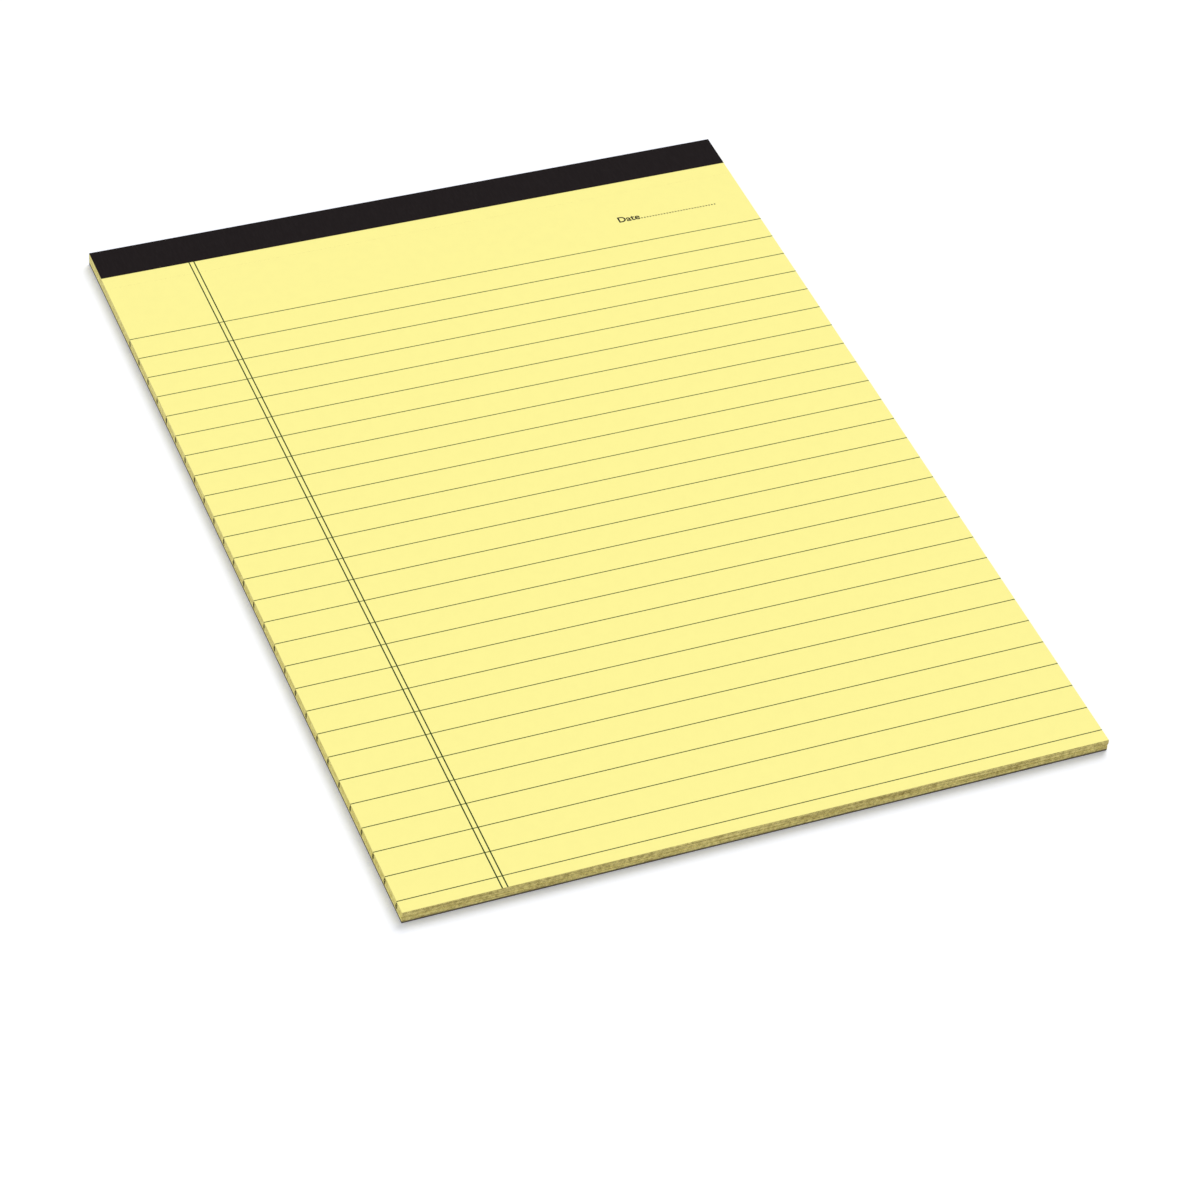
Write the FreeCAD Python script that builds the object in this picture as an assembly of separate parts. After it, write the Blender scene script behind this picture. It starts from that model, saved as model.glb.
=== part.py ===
import FreeCAD, Part
import os
from math import cos, pi

# Legal pad, lying on its back, in millimetres.
# +X runs across the sheets, +Y towards the bound head, +Z out of the top sheet.
# The origin is on the table, below the middle of the pad.

# Sheets: each tears off along a perforation and leaves a stub in the binding
sheet_width = 215.9
tear_off_length = 279.4
stub_length = 19.05
sheet_count = 50
sheet_thickness = 0.071

# Perforation: slits through every sheet, with ties of paper between them
slit_length = 1.0
slit_width = 0.1
tie_length = 0.5

# Chipboard back
board_thickness = 0.65

# Binding tape, folded over the head; what its front flap leaves goes round to the back
tape_width = 31.75
tape_front_flap = 13.4
tape_thickness = 0.15
tape_bed = 0.05  # how deep the back flap is pressed into the chipboard

# Wire staples: stitched through sheets and board, and clinched under the back flap
staple_count = 3
staple_spacing = 72.0
staple_from_head = 7.0
crown_length = 12.7
wire_width = 0.6
wire_thickness = 0.46
wire_bend_radius = 0.35  # on the inside of each bend
tip_gap = 1.2  # between the two clinched tips
wire_clearance = 0.02

# Printing on the top sheet, measured from its head and side edges to the line's middle
ink_thickness = 0.02
rule_width = 0.28
rule_pitch = 9.58
first_rule_from_head = 45.0
margin_line_width = 0.38
margin_line_spacing = 1.61
margin_from_left = 29.12
dot_diameter = 0.52
dot_pitch = 1.0
leader_length = 26.0
leader_from_right = 11.72
leader_from_head = 33.45

# Places worked out from the sizes above
sheet_length = tear_off_length + stub_length
left = -sheet_width / 2
right = sheet_width / 2
foot = -(sheet_length + tape_thickness) / 2
head = foot + sheet_length

flap_seat = tape_thickness  # level of the back flap's glued side
board_bottom = flap_seat - tape_bed
sheets_bottom = board_bottom + board_thickness
sheets_top = sheets_bottom + sheet_count * sheet_thickness
head_height = sheets_top - flap_seat

tape_front_edge = head - tape_front_flap
tape_back_edge = head - (tape_width - tape_front_flap - head_height)

staple_line = head - staple_from_head


def point(x, y, z):
    return FreeCAD.Vector(x, y, z)


def block(x, y, z):
    """A box between two values along each direction."""
    return Part.makeBox(x[1] - x[0], y[1] - y[0], z[1] - z[0], point(x[0], y[0], z[0]))


def rounded_block(x, y, z, radius):
    """A block whose four edges along Y are rounded."""
    plain = block(x, y, z)
    edges = [edge for edge in plain.Edges if edge.BoundBox.YLength > edge.BoundBox.DiagonalLength / 2]
    return plain.makeFillet(radius, edges)


def about(middle, half):
    """The two values at this distance on both sides of a middle."""
    return (middle - half, middle + half)


def wire_staple(middle):
    """Flat wire, bent round from one clinched tip over the legs and the crown to the other tip."""
    across = about(staple_line, wire_width / 2)
    low, high = flap_seat + wire_clearance, sheets_top - wire_clearance
    outside = about(middle, crown_length / 2)
    inside = about(middle, crown_length / 2 - wire_thickness)
    loop = rounded_block(outside, across, (low, high), wire_bend_radius + wire_thickness)
    hollow = (low + wire_thickness, high - wire_thickness)
    gap = block(about(middle, tip_gap / 2), across, (low, hollow[0]))
    return loop.cut([rounded_block(inside, across, hollow, wire_bend_radius), gap])


def staple_bed(middle):
    """The room that a staple takes in sheets and board, open to the tape over the crown and the tips."""
    across = about(staple_line, wire_width / 2 + wire_clearance)
    outside = about(middle, crown_length / 2 + wire_clearance)
    inside = about(middle, crown_length / 2 - wire_thickness - wire_clearance)
    depth = wire_thickness + 2 * wire_clearance
    core = (flap_seat + depth, sheets_top - depth)
    tongue = block(about(middle, tip_gap / 2 - wire_clearance), across, (flap_seat, core[0]))
    channel = block(outside, across, (flap_seat, sheets_top))
    return channel.cut([rounded_block(inside, across, core, wire_bend_radius - wire_clearance), tongue])


def perforation():
    """The slits of all sheets, in a row across the pad with a tie between each two."""
    pitch = slit_length + tie_length
    count = int(sheet_width // pitch)
    line = head - stub_length
    slits = []
    for i in range(count):
        across = about((i + 0.5 - count / 2) * pitch, slit_length / 2)
        slits.append(block(across, about(line, slit_width / 2), (sheets_bottom, sheets_top)))
    return slits


def sheet_block(beds):
    sheets = block((left, right), (foot, head), (sheets_bottom, sheets_top))
    return sheets.cut(beds + perforation())


def backing_board(beds):
    board = block((left, right), (foot, head), (board_bottom, sheets_bottom))
    flap_bed = block((left, right), (tape_back_edge, head), (board_bottom, flap_seat))
    return board.cut([flap_bed] + beds)


def binding_tape():
    """One strip of tape with square folds, whose outside turns in an arc round each edge of the head."""
    inner_top = (head, sheets_top)
    inner_low = (head, flap_seat)
    diagonal = tape_thickness * cos(pi / 4)

    def at(y, z):
        return point(left, y, z)

    def line(start, end):
        return Part.LineSegment(at(*start), at(*end)).toShape()

    def fold(start, middle, end):
        return Part.Arc(at(*start), at(*middle), at(*end)).toShape()

    front_under = (tape_front_edge, sheets_top)
    front_over = (tape_front_edge, sheets_top + tape_thickness)
    back_inside = (tape_back_edge, flap_seat)
    back_outside = (tape_back_edge, flap_seat - tape_thickness)
    over_top = (head, sheets_top + tape_thickness)
    round_top = (head + diagonal, sheets_top + diagonal)
    head_top = (head + tape_thickness, sheets_top)
    head_low = (head + tape_thickness, flap_seat)
    round_low = (head + diagonal, flap_seat - diagonal)
    under_low = (head, flap_seat - tape_thickness)
    outline = Part.Wire([
        line(front_under, inner_top),
        line(inner_top, inner_low),
        line(inner_low, back_inside),
        line(back_inside, back_outside),
        line(back_outside, under_low),
        fold(under_low, round_low, head_low),
        line(head_low, head_top),
        fold(head_top, round_top, over_top),
        line(over_top, front_over),
        line(front_over, front_under),
    ])
    return Part.Face(outline).extrude(point(sheet_width, 0, 0))


def printed_ruling():
    """Rules from side to side, and the double margin line from the tape down to the foot."""
    ink = (sheets_top, sheets_top + ink_thickness)
    lines = []
    for i in range(2):
        x = left + margin_from_left + i * margin_line_spacing
        lines.append(block(about(x, margin_line_width / 2), (foot, tape_front_edge), ink))
    count = int((sheet_length - first_rule_from_head) // rule_pitch) + 1
    for i in range(count):
        y = head - first_rule_from_head - i * rule_pitch
        lines.append(block((left, right), about(y, rule_width / 2), ink))
    return lines[0].multiFuse(lines[1:]).removeSplitter()


def date_leader():
    """The dotted line to write the date on."""
    count = int(leader_length // dot_pitch) + 1
    dots = []
    for i in range(count):
        middle = point(right - leader_from_right - i * dot_pitch, head - leader_from_head, sheets_top)
        dots.append(Part.makeCylinder(dot_diameter / 2, ink_thickness, middle))
    return Part.makeCompound(dots)


staple_places = [(i - (staple_count - 1) / 2) * staple_spacing for i in range(staple_count)]
beds = [staple_bed(x) for x in staple_places]

nodes = {
    "sheet_block": sheet_block(beds),
    "backing_board": backing_board(beds),
    "binding_tape": binding_tape(),
    "wire_staples": Part.makeCompound([wire_staple(x) for x in staple_places]),
    "printed_ruling": printed_ruling(),
    "date_leader": date_leader(),
}

os.makedirs("parts", exist_ok=True)
for name, shape in nodes.items():
    shape.exportStep(f"parts/{name}.step")
    print(name, len(shape.Solids), "solids", round(shape.Volume, 3), "mm3", shape.isValid())
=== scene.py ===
import math
import random
import bmesh
import bpy
from mathutils import Matrix, Vector


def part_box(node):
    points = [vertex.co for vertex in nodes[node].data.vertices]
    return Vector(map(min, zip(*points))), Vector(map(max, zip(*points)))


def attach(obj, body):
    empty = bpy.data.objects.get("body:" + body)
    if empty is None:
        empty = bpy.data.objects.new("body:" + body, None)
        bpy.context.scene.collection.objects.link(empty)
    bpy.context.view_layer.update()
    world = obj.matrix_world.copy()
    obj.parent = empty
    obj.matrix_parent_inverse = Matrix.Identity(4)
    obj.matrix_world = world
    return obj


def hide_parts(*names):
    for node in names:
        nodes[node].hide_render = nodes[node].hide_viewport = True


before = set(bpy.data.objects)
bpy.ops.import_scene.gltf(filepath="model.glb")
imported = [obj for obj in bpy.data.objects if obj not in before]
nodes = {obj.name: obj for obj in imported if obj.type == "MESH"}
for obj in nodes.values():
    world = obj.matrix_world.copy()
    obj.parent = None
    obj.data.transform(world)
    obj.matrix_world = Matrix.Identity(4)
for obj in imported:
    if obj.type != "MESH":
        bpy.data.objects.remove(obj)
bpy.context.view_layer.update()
mm = 0.001
touching = 0.0001 * mm           # points nearer to each other than this are one
print("frame loaded")


# colours, nodes and meshes

def linearColour(hexText):
    channels = [int(hexText[i:i + 2], 16) / 255 for i in (1, 3, 5)]
    return [c / 12.92 if c <= 0.04045 else ((c + 0.055) / 1.055) ** 2.4 for c in channels] + [1.0]


def addNode(tree, kind, inputs=None, **settings):
    # a node with its settings; an input is a plain value or another node's output
    node = tree.nodes.new(kind)
    for name, value in settings.items():
        setattr(node, name, value)
    for name, value in (inputs or {}).items():
        if isinstance(value, bpy.types.NodeSocket):
            tree.links.new(value, node.inputs[name])
        else:
            node.inputs[name].default_value = value
    return node


def startMaterial(name):
    material = bpy.data.materials.new(name)
    material.use_nodes = True
    material.node_tree.nodes.clear()
    return material, material.node_tree


def fadeSteps(node, steps):
    # the colour ramp's stops, as (place, hex colour)
    ramp = node.color_ramp
    while len(ramp.elements) > 1:
        ramp.elements.remove(ramp.elements[-1])
    for i, (place, hexText) in enumerate(steps):
        stop = ramp.elements[0] if i == 0 else ramp.elements.new(place)
        stop.position = place
        stop.color = linearColour(hexText)
    return node.outputs["Color"]


def weld(mesh, distance):
    # joins points that lie on each other, drops the faces that this leaves empty, and turns the rest outwards
    shape = bmesh.new()
    shape.from_mesh(mesh)
    bmesh.ops.remove_doubles(shape, verts=shape.verts, dist=distance)
    bmesh.ops.dissolve_degenerate(shape, edges=shape.edges, dist=distance)
    bmesh.ops.recalc_face_normals(shape, faces=shape.faces)
    shape.to_mesh(mesh)
    shape.free()


def newPiece(name, points, faces, materials, faceMaterial=None, smooth=False):
    mesh = bpy.data.meshes.new(name)
    mesh.from_pydata(points, [], faces)
    for material in materials:
        mesh.materials.append(material)
    if faceMaterial:
        mesh.polygons.foreach_set("material_index", faceMaterial)
    mesh.polygons.foreach_set("use_smooth", [smooth] * len(faces))
    mesh.update()
    piece = bpy.data.objects.new(name, mesh)
    bpy.context.scene.collection.objects.link(piece)
    return piece


def setMaterial(cadNode, material):
    cadNode.data.materials.clear()
    cadNode.data.materials.append(material)


# where things are, from the frame

paperLow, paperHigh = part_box("sheet_block")
tapeLow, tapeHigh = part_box("binding_tape")
staplesLow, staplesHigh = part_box("wire_staples")
inkLow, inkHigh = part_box("printed_ruling")
leaderLow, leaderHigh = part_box("date_leader")
sheetWidth = paperHigh.x - paperLow.x
sheetLength = paperHigh.y - paperLow.y
tapeThickness = tapeHigh.z - paperHigh.z


def ruleMiddles():
    # every rule ends at the left edge, so the ink's corners there give the rules' places
    corners = [v.co for v in nodes["printed_ruling"].data.vertices if v.co.x < inkLow.x + 0.01 * mm]
    ys = sorted({round(corner.y, 6) for corner in corners})
    return [(low + high) / 2 for low, high in zip(ys[::2], ys[1::2])]


rules = ruleMiddles()
print("rules found:", len(rules))


# yellow sheets

sheets = {
    "count": 50,
    "edgeStep": 3 * mm,          # between the points along an edge
    "lift": 9,                   # sheets that moved together
    "slideTogether": 0.10 * mm,  # how far a lift has slid at the foot
    "slideBack": 0.2,            # how much of that it may slide towards the head
    "slideEach": 0.018 * mm,     # how far single sheets differ from their lift
    "slideCurve": 1.3,           # above 1, the slide grows faster towards the foot
    "heldTo": 1.1,               # the sheets lie still this far from the head, in parts of the tape's reach
    "cutWander": 0.02 * mm,      # the knife's unevenness along an edge
    "waves": (40, 95, 210),      # that unevenness's waves, in radians a metre
    "waveSlant": 1.7,            # keeps the waves of two sides apart
    "page": "#FFF698",
    "footEdgeDeeperShade": ("#947F42", "#FFF09F"),  # the darkest and palest of the cut edge; painted shade makes both darker than the page
    # painted light: the side edge's tones are paler than the foot's, as though lit more from the side
    "sideEdgeLighterShade": ("#C8B45E", "#FFF7A8"),
    "tick": "#0C0B07",
    "tickWidth": 0.5 * mm,
    "tickStrength": 0.4,
    "tickJitter": 0.2 * mm,      # how far apart two sheets' ticks may be
    "blotWidth": 1.3 * mm,
    "blotHeight": 2.4 * mm,
    "blotRagged": 0.6,           # how far the rim runs in and out, in parts of half the blot
    "blotRim": (1.15, 1.35),     # ink from full to none, in the same parts
    "tickFringe": (0.3, 0.7),    # the same for the line, in parts of its width from its middle
    "seed": 11,
    "slitLength": 1.0 * mm,
    "slitWidth": 0.02 * mm,      # the paper closes up again behind the knife
    "tieLength": 0.5 * mm,
    "stubLength": 19.05 * mm,
}
sheetThickness = (paperHigh.z - paperLow.z) / sheets["count"]
onPage, onFoot, onSide = 0, 1, 2     # the order of the sheets' materials


def makePageMaterial():
    # calendered bond paper: an even matt yellow, with a faint cloudiness where the fibres settled
    material, tree = startMaterial("calendered yellow bond paper")
    place = addNode(tree, "ShaderNodeTexCoord").outputs["Object"]
    cloudSize = 4 * mm               # where the fibres flocked together
    cloud = addNode(tree, "ShaderNodeTexNoise", {"Vector": place, "Scale": 1 / cloudSize, "Detail": 3.0})
    fibreSize = 0.25 * mm            # fibres are about 0.03 mm wide; drawn this coarse to show
    fibre = addNode(tree, "ShaderNodeTexNoise", {"Vector": place, "Scale": 1 / fibreSize, "Detail": 2.0})
    tone = addNode(tree, "ShaderNodeMapRange", {
        "Value": cloud.outputs["Fac"], "From Min": 0.3, "From Max": 0.7, "To Min": 0.985, "To Max": 1.0,
    })
    colour = addNode(tree, "ShaderNodeHueSaturation", {
        "Color": linearColour(sheets["page"]), "Value": tone.outputs["Result"],
    })
    relief = addNode(tree, "ShaderNodeBump", {
        "Height": fibre.outputs["Fac"], "Strength": 0.12, "Distance": 0.02 * mm,
    })
    paper = addNode(tree, "ShaderNodeBsdfPrincipled", {
        "Base Color": colour.outputs["Color"],
        "Roughness": 0.88,
        "IOR": 1.5,
        "Specular IOR Level": 0.2,   # uncoated fibres scatter most of the gloss
        "Normal": relief.outputs["Normal"],
    })
    addNode(tree, "ShaderNodeOutputMaterial", {"Surface": paper.outputs["BSDF"]})
    return material


def makeEdgeMaterial(name, tones, withTicks):
    # guillotined paper edge: each cut sheet a hair lighter or darker, and mottled; its tones are painted
    # shade, darker and browner than the page
    material, tree = startMaterial(name)
    place = addNode(tree, "ShaderNodeTexCoord").outputs["Object"]
    axes = addNode(tree, "ShaderNodeSeparateXYZ", {"Vector": place})
    sheetPlace = addNode(tree, "ShaderNodeMapRange", {
        "Value": axes.outputs["Z"],
        "From Min": paperLow.z, "From Max": paperHigh.z, "To Max": sheets["count"],
    }, clamp=False).outputs[0]
    sheetNumber = addNode(tree, "ShaderNodeMath", {0: sheetPlace}, operation="FLOOR").outputs[0]
    ownTone = addNode(tree, "ShaderNodeTexWhiteNoise", {"W": sheetNumber}, noise_dimensions="1D")
    streakHeight = 0.35 * mm         # lifts of about five sheets that were cut alike
    streakLength = 22 * mm
    stretched = addNode(tree, "ShaderNodeMapping", {
        "Vector": place, "Scale": (1 / streakLength, 1 / streakLength, 1 / streakHeight),
    })
    streaks = addNode(tree, "ShaderNodeTexNoise", {
        "Vector": stretched.outputs["Vector"], "Scale": 1.0, "Detail": 3.0, "Roughness": 0.6,
    })
    mottleSize = 1.3 * mm
    mottle = addNode(tree, "ShaderNodeTexNoise", {
        "Vector": place, "Scale": 1 / mottleSize, "Detail": 4.0, "Roughness": 0.7,
    })
    uneven = addNode(tree, "ShaderNodeMix", {
        0: 0.55, 2: streaks.outputs["Fac"], 3: mottle.outputs["Fac"],
    }, data_type="FLOAT").outputs[0]
    tone = addNode(tree, "ShaderNodeMix", {
        0: 0.12, 2: uneven, 3: ownTone.outputs["Value"],
    }, data_type="FLOAT").outputs[0]
    shade = addNode(tree, "ShaderNodeValToRGB", {"Fac": tone})
    colour = fadeSteps(shade, [(0.38, tones[0]), (0.6, tones[1])])
    if withTicks:
        colour = addNode(tree, "ShaderNodeMix", {
            0: tickAmount(tree, place, axes, sheetNumber), 6: colour, 7: linearColour(sheets["tick"]),
        }, data_type="RGBA").outputs[2]
    # a fine groove between each two sheets, then the ragged cut
    inSheet = addNode(tree, "ShaderNodeMath", {0: sheetPlace, 1: 0.5}, operation="PINGPONG")
    grooves = addNode(tree, "ShaderNodeBump", {
        "Height": inSheet.outputs[0], "Strength": 0.4, "Distance": 0.03 * mm,
    })
    ragged = addNode(tree, "ShaderNodeBump", {
        "Height": uneven, "Strength": 0.5, "Distance": 0.1 * mm, "Normal": grooves.outputs["Normal"],
    })
    cut = addNode(tree, "ShaderNodeBsdfPrincipled", {
        "Base Color": colour, "Roughness": 0.9, "IOR": 1.5, "Specular IOR Level": 0.1,
        "Normal": ragged.outputs["Normal"],
    })
    addNode(tree, "ShaderNodeOutputMaterial", {"Surface": cut.outputs["BSDF"]})
    return material


def tickAmount(tree, place, axes, sheetNumber):
    # the rules run off the paper, so the edge has a tick of ink at each, no sheet's quite above the next
    pitch = (rules[-1] - rules[0]) / (len(rules) - 1)
    otherDraw = 100.0                # so that a sheet's shift doesn't follow its tone
    ownSeed = addNode(tree, "ShaderNodeMath", {0: sheetNumber, 1: otherDraw}, operation="ADD")
    jitter = addNode(tree, "ShaderNodeTexWhiteNoise", {"W": ownSeed.outputs[0]}, noise_dimensions="1D")
    shifted = addNode(tree, "ShaderNodeMath", {
        0: jitter.outputs["Value"], 1: sheets["tickJitter"], 2: axes.outputs["Y"],
    }, operation="MULTIPLY_ADD")
    ruleNumber = addNode(tree, "ShaderNodeMapRange", {
        "Value": shifted.outputs[0],
        "From Min": rules[0] + sheets["tickJitter"] / 2, "From Max": rules[-1] + sheets["tickJitter"] / 2,
        "To Max": len(rules) - 1,
    }, clamp=False).outputs[0]
    whole = addNode(tree, "ShaderNodeMath", {0: ruleNumber}, operation="ROUND")
    nearest = addNode(tree, "ShaderNodeClamp", {"Value": whole.outputs[0], "Max": len(rules) - 1})
    away = addNode(tree, "ShaderNodeMath", {0: ruleNumber, 1: nearest.outputs[0]}, operation="SUBTRACT")
    # a blot about half way up, where the knife pressed the sheets hardest
    across = addNode(tree, "ShaderNodeMath", {
        0: away.outputs[0], 1: 2 * pitch / sheets["blotWidth"],
    }, operation="MULTIPLY")
    halfWay = (paperLow.z + paperHigh.z) / 2
    upwards = addNode(tree, "ShaderNodeMapRange", {
        "Value": axes.outputs["Z"], "From Min": halfWay, "From Max": halfWay + sheets["blotHeight"] / 2,
    }, clamp=False)
    flat = addNode(tree, "ShaderNodeCombineXYZ", {"X": across.outputs[0], "Y": upwards.outputs[0]})
    fromBlot = addNode(tree, "ShaderNodeVectorMath", {0: flat.outputs[0]}, operation="LENGTH")
    raggedSize = 0.7 * mm            # how coarsely the rim runs in and out
    ragged = addNode(tree, "ShaderNodeTexNoise", {"Vector": place, "Scale": 1 / raggedSize, "Detail": 2.0})
    rim = addNode(tree, "ShaderNodeMath", {
        0: ragged.outputs["Fac"], 1: sheets["blotRagged"], 2: fromBlot.outputs["Value"],
    }, operation="MULTIPLY_ADD")
    full, none = sheets["blotRim"]
    blot = addNode(tree, "ShaderNodeMapRange", {
        "Value": rim.outputs[0], "From Min": full, "From Max": none, "To Min": 1.0, "To Max": 0.0,
    })
    # and the rule's own faint line over the whole height
    offLine = addNode(tree, "ShaderNodeMath", {0: away.outputs[0]}, operation="ABSOLUTE")
    full, none = (part * sheets["tickWidth"] / pitch for part in sheets["tickFringe"])
    faint = addNode(tree, "ShaderNodeMapRange", {
        "Value": offLine.outputs[0], "From Min": full, "From Max": none,
        "To Min": sheets["tickStrength"], "To Max": 0.0,
    })
    return addNode(tree, "ShaderNodeMath", {
        0: blot.outputs[0], 1: faint.outputs[0],
    }, operation="MAXIMUM").outputs[0]


def edgePoints(step):
    # the sheet's outline from the left foot corner, counterclockwise seen from above
    across = max(1, round(sheetWidth / step))
    along = max(1, round(sheetLength / step))
    x0, y0, x1, y1 = paperLow.x, paperLow.y, paperHigh.x, paperHigh.y
    outline = [(x0 + sheetWidth * i / across, y0) for i in range(across)]
    outline += [(x1, y0 + sheetLength * i / along) for i in range(along)]
    outline += [(x1 - sheetWidth * i / across, y1) for i in range(across)]
    outline += [(x0, y1 - sheetLength * i / along) for i in range(along)]
    return outline, across, along


def makeSheetStack(pageMaterial, footMaterial, sideMaterial):
    # every sheet but the first, as one closed shell with a step at each sheet
    dice = random.Random(sheets["seed"])
    outline, across, along = edgePoints(sheets["edgeStep"])
    count = sheets["count"] - 1
    bound = paperHigh.y - (paperHigh.y - tapeLow.y) * sheets["heldTo"]
    points = []
    phases = [dice.uniform(0, math.tau) for _ in sheets["waves"]]
    for i in range(count):
        if i % sheets["lift"] == 0:
            liftX = dice.uniform(-1, 1) * sheets["slideTogether"]
            liftY = dice.uniform(-1, sheets["slideBack"]) * sheets["slideTogether"]
        slideX = liftX + dice.uniform(-1, 1) * sheets["slideEach"]
        slideY = liftY + dice.uniform(-1, 1) * sheets["slideEach"]
        ring = []
        for x, y in outline:
            loose = max(0.0, (bound - y) / (bound - paperLow.y))
            way = x + sheets["waveSlant"] * y
            wave = sum(math.sin(phase + way * k) for phase, k in zip(phases, sheets["waves"])) / len(phases)
            shiftX = slideX * loose ** sheets["slideCurve"]
            shiftY = (slideY + wave * sheets["cutWander"]) * loose
            ring.append((x + shiftX, y + shiftY))
        for level in (i, i + 1):
            z = paperLow.z + level * sheetThickness
            points += [(x, y, z) for x, y in ring]
    n = len(outline)
    faces, kinds = [], []
    for row in range(2 * count - 1):
        for k in range(n):
            nextK = (k + 1) % n
            faces.append((row * n + k, row * n + nextK, (row + 1) * n + nextK, (row + 1) * n + k))
            onFootOrHead = k < across or across + along <= k < 2 * across + along
            lip = row % 2 == 1
            kinds.append(onPage if lip else onFoot if onFootOrHead else onSide)
    faces.append(tuple(reversed(range(n))))
    faces.append(tuple(range((2 * count - 1) * n, 2 * count * n)))
    kinds += [onPage, onPage]
    stack = newPiece("sheet_stack", points, faces, [pageMaterial, footMaterial, sideMaterial], kinds)
    weld(stack.data, touching)       # under the tape the sheets lie flush, without a lip
    return stack


def makeTopSheet(pageMaterial, footMaterial, sideMaterial):
    # the first sheet, with the perforation's slits cut through it
    pitch = sheets["slitLength"] + sheets["tieLength"]
    count = int(sheetWidth // pitch)
    xs = [paperLow.x]
    for i in range(count):
        middle = (i + 0.5 - count / 2) * pitch
        xs += [middle - sheets["slitLength"] / 2, middle + sheets["slitLength"] / 2]
    xs.append(paperHigh.x)
    line = paperHigh.y - sheets["stubLength"]
    ys = [paperLow.y, line - sheets["slitWidth"] / 2, line + sheets["slitWidth"] / 2, paperHigh.y]
    zs = [paperHigh.z - sheetThickness, paperHigh.z]
    rows = len(ys) - 1
    columns = len(xs)
    points = [(x, y, z) for z in zs for y in ys for x in xs]

    def at(level, row, column):
        return (level * len(ys) + row) * columns + column

    faces, kinds = [], []
    for column in range(columns - 1):
        slit = column % 2 == 1
        for row in range(rows):
            a, b, c, d = (row, column), (row, column + 1), (row + 1, column + 1), (row + 1, column)
            if slit and row == 1:
                walls = [(b, a), (c, b), (d, c), (a, d)]
                faces += [(at(0, *p), at(0, *q), at(1, *q), at(1, *p)) for p, q in walls]
                kinds += [onFoot] * len(walls)
            else:
                faces.append(tuple(at(1, *p) for p in (a, b, c, d)))
                faces.append(tuple(at(0, *p) for p in (d, c, b, a)))
                kinds += [onPage, onPage]
        for row, (p, q) in ((0, (column, column + 1)), (rows, (column + 1, column))):
            faces.append((at(0, row, p), at(0, row, q), at(1, row, q), at(1, row, p)))
            kinds.append(onFoot)
    for row in range(rows):
        for column, (p, q) in ((columns - 1, (row, row + 1)), (0, (row + 1, row))):
            faces.append((at(0, p, column), at(0, q, column), at(1, q, column), at(1, p, column)))
            kinds.append(onSide)
    return newPiece("top_sheet", points, faces, [pageMaterial, footMaterial, sideMaterial], kinds)


pagePaper = makePageMaterial()
# both cut edges carry painted shade of the gaps between sheets, the foot's deeper than the side's
footEdgeDeeperShade = makeEdgeMaterial("guillotined paper edge at the foot, deeper painted shade", sheets["footEdgeDeeperShade"], False)
sideEdgeLighterShade = makeEdgeMaterial("guillotined paper edge with rule ends", sheets["sideEdgeLighterShade"], True)
for piece in (makeSheetStack(pagePaper, footEdgeDeeperShade, sideEdgeLighterShade), makeTopSheet(pagePaper, footEdgeDeeperShade, sideEdgeLighterShade)):
    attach(piece, "root")
    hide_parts("sheet_block")
print("sheets made")


# printing on the top sheet

printing = {
    "ruleInk": "#233C14",
    "dateInk": "#1A1910",
    "word": "Date",
    "wordWidth": 7.5 * mm,
    "capHeight": 2.65 * mm,
    "bolder": 0.019,             # how far the letters' outline moves out, in parts of their height
    "curveSteps": 4,
    "patch": 0.6 * mm,           # how coarsely the ink is uneven
    "touching": 0.0005,          # outline points nearer than this are one, in parts of the letters' height
    "belowDots": 0.25 * mm,      # the word stands this far below the dots' middle
    "gapToDots": 0.3 * mm,
}


def makeInkMaterial(name, hexText):
    # offset ink soaked into uncoated paper: dark, matt, a little uneven along each line
    material, tree = startMaterial(name)
    place = addNode(tree, "ShaderNodeTexCoord").outputs["Object"]
    uneven = addNode(tree, "ShaderNodeTexNoise", {
        "Vector": place, "Scale": 1 / printing["patch"], "Detail": 2.0,
    })
    tone = addNode(tree, "ShaderNodeMapRange", {
        "Value": uneven.outputs["Fac"], "From Min": 0.3, "From Max": 0.7, "To Min": 0.85, "To Max": 1.15,
    })
    colour = addNode(tree, "ShaderNodeHueSaturation", {
        "Color": linearColour(hexText), "Value": tone.outputs["Result"],
    })
    ink = addNode(tree, "ShaderNodeBsdfPrincipled", {
        "Base Color": colour.outputs["Color"], "Roughness": 0.85, "IOR": 1.5, "Specular IOR Level": 0.15,
    })
    addNode(tree, "ShaderNodeOutputMaterial", {"Surface": ink.outputs["BSDF"]})
    return material


def makeDateWord(inkMaterial):
    # the date line's printed word, a film of ink just before the dots
    text = bpy.data.curves.new("date_word", "FONT")
    text.body = printing["word"]
    text.size = 1.0
    text.resolution_u = printing["curveSteps"]
    text.offset = printing["bolder"]
    text.extrude = 0.5               # one unit thick in all, scaled to the ink's thickness below
    source = bpy.data.objects.new("date_word_source", text)
    bpy.context.scene.collection.objects.link(source)
    bpy.context.view_layer.update()
    letters = bpy.data.meshes.new_from_object(source.evaluated_get(bpy.context.evaluated_depsgraph_get()))
    bpy.data.objects.remove(source)
    weld(letters, printing["touching"])
    left = min(v.co.x for v in letters.vertices)
    right = max(v.co.x for v in letters.vertices)
    capTop = max(v.co.y for v in letters.vertices)
    wordEnd = leaderLow.x - printing["gapToDots"]
    baseline = (leaderLow.y + leaderHigh.y) / 2 - printing["belowDots"]
    size = (printing["wordWidth"] / (right - left), printing["capHeight"] / capTop, inkHigh.z - inkLow.z, 1)
    letters.transform(
        Matrix.Translation((wordEnd - printing["wordWidth"], baseline, (inkLow.z + inkHigh.z) / 2))
        @ Matrix.Diagonal(size)
        @ Matrix.Translation((-left, 0, 0))
    )
    letters.materials.clear()
    letters.materials.append(inkMaterial)
    letters.name = "date_word"
    word = bpy.data.objects.new("date_word", letters)
    bpy.context.scene.collection.objects.link(word)
    return word


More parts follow.
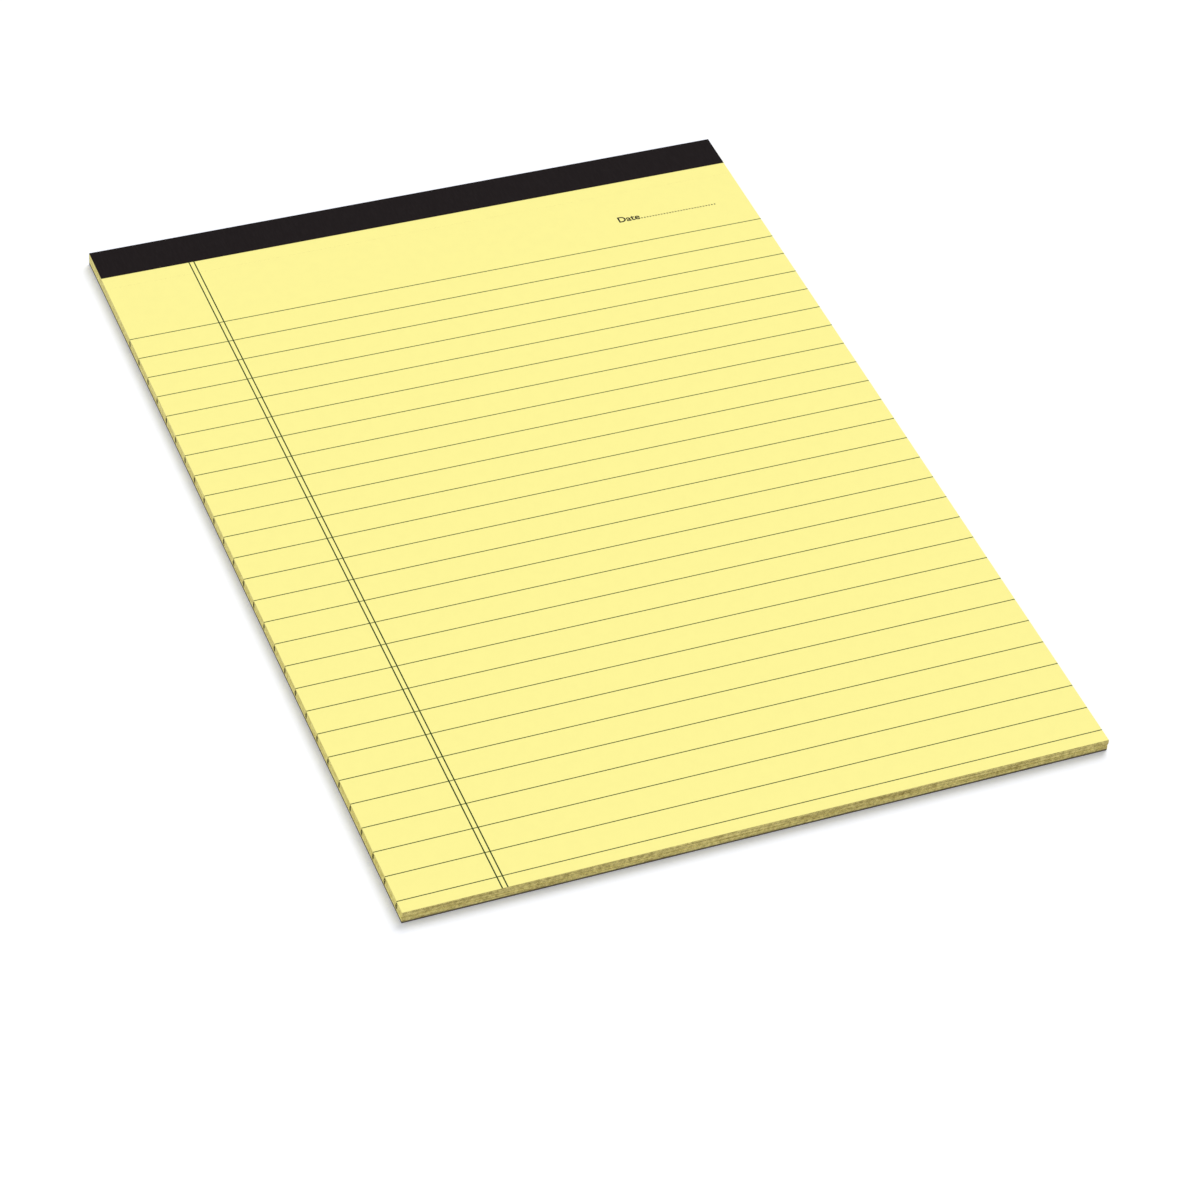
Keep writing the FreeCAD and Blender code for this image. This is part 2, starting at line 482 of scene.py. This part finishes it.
ruleInk = makeInkMaterial("dark green-grey offset ink on paper", printing["ruleInk"])
dateInk = makeInkMaterial("black offset ink on paper", printing["dateInk"])
setMaterial(nodes["printed_ruling"], ruleInk)
setMaterial(nodes["date_leader"], dateInk)
dateWord = makeDateWord(dateInk)
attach(dateWord, "root")
print("printing made")


# binding tape

tape = {
    "colour": "#1A1516",
    "worn": "#1F1A1B",
    "step": 0.8 * mm,            # between points across the pad
    "flapStep": 0.7 * mm,        # between points along a flap
    "headSteps": 6,
    "sink": 0.04 * mm,           # how far the tape sinks beside the staples
    "soft": 0.9 * mm,            # how wide the slope beside a staple is
    "tight": 2 * mm,             # how far from a fold the sink has its full depth
    "staplesApart": 20 * mm,     # wire points further apart than this belong to two staples
    "creaseFrom": 40,            # degrees between faces; only the flaps' cut edges stay sharp
}


def makeTapeMaterial():
    # saturated crepe paper tape: near-black and dull, with fine cross ridges
    material, tree = startMaterial("saturated crepe paper tape")
    place = addNode(tree, "ShaderNodeTexCoord").outputs["Object"]
    ridge = 0.5 * mm                 # crepe ridges are about 0.3 mm apart; drawn a little coarser to show
    ridgeLength = 3 * mm
    stretched = addNode(tree, "ShaderNodeMapping", {
        "Vector": place, "Scale": (1 / ridge, 1 / ridgeLength, 1 / ridgeLength),
    })
    crepe = addNode(tree, "ShaderNodeTexNoise", {
        "Vector": stretched.outputs["Vector"], "Scale": 1.0, "Detail": 3.0, "Distortion": 0.4,
    })
    colour = fadeSteps(
        addNode(tree, "ShaderNodeValToRGB", {"Fac": crepe.outputs["Fac"]}),
        [(0.4, tape["colour"]), (0.75, tape["worn"])],
    )
    relief = addNode(tree, "ShaderNodeBump", {
        "Height": crepe.outputs["Fac"], "Strength": 0.35, "Distance": 0.04 * mm,
    })
    black = addNode(tree, "ShaderNodeBsdfPrincipled", {
        "Base Color": colour, "Roughness": 0.85, "IOR": 1.45,
        "Specular IOR Level": 0.06,  # the rough, saturated fibres hardly shine
        "Normal": relief.outputs["Normal"],
    })
    addNode(tree, "ShaderNodeOutputMaterial", {"Surface": black.outputs["BSDF"]})
    return material


def stapleSpans():
    # each staple's lowest and highest x, from the gaps between the wires' points
    xs = sorted(v.co.x for v in nodes["wire_staples"].data.vertices)
    spans = [[xs[0], xs[0]]]
    for x in xs:
        if x - spans[-1][1] > tape["staplesApart"]:
            spans.append([x, x])
        spans[-1][1] = x
    return spans


def besideStaple(x, y, spans):
    # 0 over a staple's wire, rising to 1 beside it
    nearest = 1.0
    for low, high in spans:
        dx = max(low - x, 0, x - high)
        dy = max(staplesLow.y - y, 0, y - staplesHigh.y)
        t = min(1.0, math.hypot(dx, dy) / tape["soft"])
        nearest = min(nearest, t * t * (3 - 2 * t))
    return nearest


def edgeHold(y):
    # the sink fades out towards the folds, where the tape is tight over the head
    return min(1.0, max(0.0, (paperHigh.y - y) / tape["tight"]))


def flapDepth(side):
    # how far the tape's flap reaches from the head, on the front (side 1) or the back (side -1)
    middle = (tapeLow.z + tapeHigh.z) / 2
    ys = [v.co.y for v in nodes["binding_tape"].data.vertices if (v.co.z - middle) * side > 0]
    return paperHigh.y - min(ys)


def makeTape(material, frontFlap, backFlap):
    # one strip: up the back flap, over the head and down the front flap, as an inner and an outer skin
    spans = stapleSpans()
    top, low, head = paperHigh.z, tapeThickness, paperHigh.y
    backSteps = round(backFlap / tape["flapStep"])
    frontSteps = round(frontFlap / tape["flapStep"])
    headSteps = tape["headSteps"]
    # points (y, z) on the inner skin, each with the way out from there; a fold turns in steps of 30 degrees
    section = [((head - backFlap + backFlap * i / backSteps, low), (0, -1)) for i in range(backSteps)]
    turn = [math.radians(a) for a in (270, 300, 330)]
    section += [((head, low), (math.cos(a), math.sin(a))) for a in turn]
    section += [((head, low + (top - low) * i / headSteps), (1, 0)) for i in range(headSteps + 1)]
    turn = [math.radians(a) for a in (30, 60)]
    section += [((head, top), (math.cos(a), math.sin(a))) for a in turn]
    section += [((head - frontFlap * i / frontSteps, top), (0, 1)) for i in range(frontSteps + 1)]
    columns = round(sheetWidth / tape["step"]) + 1
    points = []
    for outer in (0, 1):
        for c in range(columns):
            x = paperLow.x + sheetWidth * c / (columns - 1)
            for (y, z), (outY, outZ) in section:
                out = 0.0
                if outer:
                    flat = 1.0 if abs(outZ) == 1 else 0.0
                    out = tapeThickness - tape["sink"] * besideStaple(x, y, spans) * flat * edgeHold(y)
                points.append((x, y + outY * out, z + outZ * out))
    n = len(section)
    faces = []
    for c in range(columns - 1):
        for s in range(n - 1):
            a, b = c * n + s, (c + 1) * n + s
            outerA, outerB = a + columns * n, b + columns * n
            faces.append((a, b, b + 1, a + 1))
            faces.append((outerA, outerA + 1, outerB + 1, outerB))
        for s in (0, n - 1):
            a, b = c * n + s, (c + 1) * n + s
            quad = (a, a + columns * n, b + columns * n, b)
            faces.append(quad if s == 0 else tuple(reversed(quad)))
    for c in (0, columns - 1):
        for s in range(n - 1):
            a = c * n + s
            quad = (a, a + 1, a + 1 + columns * n, a + columns * n)
            faces.append(quad if c == 0 else tuple(reversed(quad)))
    strip = newPiece("tape_strip", points, faces, [material], smooth=True)
    weld(strip.data, touching)       # the inner skin has one edge at each fold
    strip.data.set_sharp_from_angle(angle=math.radians(tape["creaseFrom"]))
    return strip


frontFlap = flapDepth(1)
backFlap = flapDepth(-1)
tapeStrip = makeTape(makeTapeMaterial(), frontFlap, backFlap)
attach(tapeStrip, "root")
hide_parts("binding_tape")
print("tape made, flaps of", round(frontFlap / mm, 2), "and", round(backFlap / mm, 2), "mm")


# chipboard back and staples

board = {
    "light": "#A89A84",
    "dark": "#877964",
    "flecks": (                  # turn, length, width, colour, how rare, how strong
        (0.4, 2.2 * mm, 0.22 * mm, "#5C5040", 0.63, 0.75),
        (1.9, 1.6 * mm, 0.25 * mm, "#D0C6B0", 0.64, 0.7),
        (1.2, 0.6 * mm, 0.45 * mm, "#3E372E", 0.70, 0.8),
    ),
    "edgeShadeShare": 0.45,           # painted shade: the cut edge is darkened to stand for the shadowed line under the pad
}
wire = {"zinc": "#B9BBBD"}


def makeBoardMaterial():
    # pressed grey-brown chipboard from mixed waste paper: matt, with fibres and dark and pale flecks
    material, tree = startMaterial("pressed recycled chipboard")
    place = addNode(tree, "ShaderNodeTexCoord").outputs["Object"]
    cloudSize = 9 * mm               # where the pulp lay thicker on the wire
    cloud = addNode(tree, "ShaderNodeTexNoise", {
        "Vector": place, "Scale": 1 / cloudSize, "Detail": 2.0,
    }).outputs["Fac"]
    pulpSize = 0.9 * mm
    pulp = addNode(tree, "ShaderNodeTexNoise", {
        "Vector": place, "Scale": 1 / pulpSize, "Detail": 4.0, "Roughness": 0.7,
    }).outputs["Fac"]
    uneven = addNode(tree, "ShaderNodeMix", {0: 0.7, 2: cloud, 3: pulp}, data_type="FLOAT").outputs[0]
    shade = addNode(tree, "ShaderNodeValToRGB", {"Fac": uneven})
    colour = fadeSteps(shade, [(0.36, board["dark"]), (0.62, board["light"])])
    for turned, length, width, hexText, rarity, most in board["flecks"]:
        laid = addNode(tree, "ShaderNodeMapping", {
            "Vector": place, "Rotation": (0, 0, turned), "Scale": (1 / length, 1 / width, 1 / width),
        })
        flecks = addNode(tree, "ShaderNodeTexNoise", {
            "Vector": laid.outputs["Vector"], "Scale": 1.0, "Detail": 1.0, "Distortion": 0.8,
        })
        amount = addNode(tree, "ShaderNodeMapRange", {
            "Value": flecks.outputs["Fac"], "From Min": rarity, "From Max": rarity + 0.04,
            "To Min": 0.0, "To Max": most,
        })
        colour = addNode(tree, "ShaderNodeMix", {
            0: amount.outputs[0], 6: colour, 7: linearColour(hexText),
        }, data_type="RGBA").outputs[2]
    # painted shade: faces turned sideways, the cut edge, are darkened to stand for the shadowed line under
    # the pad
    facing = addNode(tree, "ShaderNodeNewGeometry").outputs["True Normal"]
    turn = addNode(tree, "ShaderNodeSeparateXYZ", {"Vector": facing})
    level = addNode(tree, "ShaderNodeMath", {0: turn.outputs["Z"]}, operation="ABSOLUTE")
    paintedEdgeShade = addNode(tree, "ShaderNodeMapRange", {
        "Value": level.outputs[0],
        "From Min": 0.3, "From Max": 0.7, "To Min": board["edgeShadeShare"], "To Max": 1.0,
    })
    shaded = addNode(tree, "ShaderNodeHueSaturation", {"Color": colour, "Value": paintedEdgeShade.outputs[0]})
    relief = addNode(tree, "ShaderNodeBump", {
        "Height": pulp, "Strength": 0.35, "Distance": 0.06 * mm,
    })
    fibres = addNode(tree, "ShaderNodeBsdfPrincipled", {
        "Base Color": shaded.outputs["Color"], "Roughness": 0.92, "IOR": 1.5, "Specular IOR Level": 0.1,
        "Normal": relief.outputs["Normal"],
    })
    addNode(tree, "ShaderNodeOutputMaterial", {"Surface": fibres.outputs["BSDF"]})
    return material


def makeWireMaterial():
    # galvanised stitching wire, drawn: bright zinc grey with fine lengthwise scratches
    material, tree = startMaterial("galvanised drawn steel wire")
    place = addNode(tree, "ShaderNodeTexCoord").outputs["Object"]
    scratchLength = 2 * mm
    scratchWidth = 0.05 * mm
    drawn = addNode(tree, "ShaderNodeMapping", {
        "Vector": place, "Scale": (1 / scratchLength, 1 / scratchWidth, 1 / scratchWidth),
    })
    scratch = addNode(tree, "ShaderNodeTexNoise", {
        "Vector": drawn.outputs["Vector"], "Scale": 1.0, "Detail": 2.0,
    })
    rough = addNode(tree, "ShaderNodeMapRange", {
        "Value": scratch.outputs["Fac"], "To Min": 0.28, "To Max": 0.45,
    })
    steel = addNode(tree, "ShaderNodeBsdfPrincipled", {
        "Base Color": linearColour(wire["zinc"]), "Metallic": 1.0, "Roughness": rough.outputs["Result"],
    })
    addNode(tree, "ShaderNodeOutputMaterial", {"Surface": steel.outputs["BSDF"]})
    return material


setMaterial(nodes["backing_board"], makeBoardMaterial())
setMaterial(nodes["wire_staples"], makeWireMaterial())
print("board and staples finished")


# floor, light and camera

stageLook = {
    "floorHalf": 3.0,
    "floorColour": "#F3F5FB",
    "floorLift": 0.16,           # what the camera alone sees added, so that the open floor is white
    "domeLevel": 0.52,           # light from all round
    "domeColour": "#FAFCFF",
    "lamps": (                   # name, level on a flat sheet, where from, degrees across, colour
        ("key", 0.455, (0.55, 0.6, 1.0), 35, "#FFFDFA"),
        ("fill", 0.04, (-1.0, 0.15, 0.25), 60, "#FFFFFF"),
    ),
}
shot = {
    "focal": 119.1,              # mm on a sensor 36 mm wide
    "sensor": 36.0,
    "heading": 25.461,           # degrees from +Y towards +X
    "down": 43.131,
    "roll": 5.504,
    "fromPage": (-378.15, -821.94, 800.44),  # mm from the middle of the top sheet
    "clipStart": 0.05,           # m, nearer than any part of the pad
}


def seenAsItself(tree):
    # 1 where the camera looks, straight or through a gloss or glass, and 0 for light on its way to something
    path = addNode(tree, "ShaderNodeLightPath")
    straight = addNode(tree, "ShaderNodeMath", {
        0: path.outputs["Is Camera Ray"], 1: path.outputs["Is Glossy Ray"],
    }, operation="MAXIMUM")
    return addNode(tree, "ShaderNodeMath", {
        0: straight.outputs[0], 1: path.outputs["Is Transmission Ray"],
    }, operation="MAXIMUM").outputs[0]


def makeFloor():
    # seamless white paper sweep: matt, with the pad's own soft shadow
    half = stageLook["floorHalf"]
    material, tree = startMaterial("seamless white paper sweep")
    place = addNode(tree, "ShaderNodeTexCoord").outputs["Object"]
    grainSize = 1.5 * mm
    grain = addNode(tree, "ShaderNodeTexNoise", {"Vector": place, "Scale": 1 / grainSize, "Detail": 2.0})
    relief = addNode(tree, "ShaderNodeBump", {
        "Height": grain.outputs["Fac"], "Strength": 0.05, "Distance": 0.02 * mm,
    })
    matt = addNode(tree, "ShaderNodeBsdfDiffuse", {
        "Color": linearColour(stageLook["floorColour"]), "Normal": relief.outputs["Normal"],
    })
    lift = addNode(tree, "ShaderNodeMath", {
        0: seenAsItself(tree), 1: stageLook["floorLift"],
    }, operation="MULTIPLY")
    glow = addNode(tree, "ShaderNodeEmission", {"Color": (1, 1, 1, 1), "Strength": lift.outputs[0]})
    both = addNode(tree, "ShaderNodeAddShader", {0: matt.outputs[0], 1: glow.outputs[0]})
    addNode(tree, "ShaderNodeOutputMaterial", {"Surface": both.outputs[0]})
    corners = [(-half, -half, 0), (half, -half, 0), (half, half, 0), (-half, half, 0)]
    floor = newPiece("floor", corners, [(0, 1, 2, 3)], [material])


def makeLight():
    world = bpy.data.worlds.new("soft white dome")
    bpy.context.scene.world = world
    world.use_nodes = True
    tree = world.node_tree
    tree.nodes.clear()
    seen = seenAsItself(tree)
    level = addNode(tree, "ShaderNodeMapRange", {
        "Value": seen, "To Min": stageLook["domeLevel"], "To Max": 1.0,
    })
    tint = addNode(tree, "ShaderNodeMix", {
        0: seen, 6: linearColour(stageLook["domeColour"]), 7: (1, 1, 1, 1),
    }, data_type="RGBA")
    dome = addNode(tree, "ShaderNodeBackground", {
        "Color": tint.outputs[2], "Strength": level.outputs["Result"],
    })
    addNode(tree, "ShaderNodeOutputWorld", {"Surface": dome.outputs[0]})
    for name, flatLevel, fromPlace, width, hexText in stageLook["lamps"]:
        way = Vector(fromPlace).normalized()
        sun = bpy.data.lights.new(name, "SUN")
        sun.angle = math.radians(width)
        sun.energy = flatLevel * math.pi / way.z
        sun.color = linearColour(hexText)[:3]
        lamp = bpy.data.objects.new(name, sun)
        lamp.rotation_mode = "QUATERNION"
        lamp.rotation_quaternion = way.to_track_quat("Z", "Y")
        bpy.context.scene.collection.objects.link(lamp)


def makeCamera():
    heading, down, roll = (math.radians(shot[k]) for k in ("heading", "down", "roll"))
    ahead = Vector((math.sin(heading) * math.cos(down), math.cos(heading) * math.cos(down), -math.sin(down)))
    level = Vector((math.cos(heading), -math.sin(heading), 0))
    above = level.cross(ahead)
    right = level * math.cos(roll) + above * math.sin(roll)
    up = above * math.cos(roll) - level * math.sin(roll)
    turn = Matrix((right, up, -ahead)).transposed()
    pageMiddle = Vector((0, (paperLow.y + paperHigh.y) / 2, paperHigh.z))
    lens = bpy.data.cameras.new("camera")
    lens.lens = shot["focal"]
    lens.sensor_width = shot["sensor"]
    lens.clip_start = shot["clipStart"]
    camera = bpy.data.objects.new("camera", lens)
    camera.matrix_world = Matrix.Translation(pageMiddle + Vector(shot["fromPage"]) * mm) @ turn.to_4x4()
    bpy.context.scene.collection.objects.link(camera)
    bpy.context.scene.camera = camera


makeFloor()
makeLight()
makeCamera()
bpy.context.scene.view_settings.view_transform = "Standard"
print("stage, light and camera set")
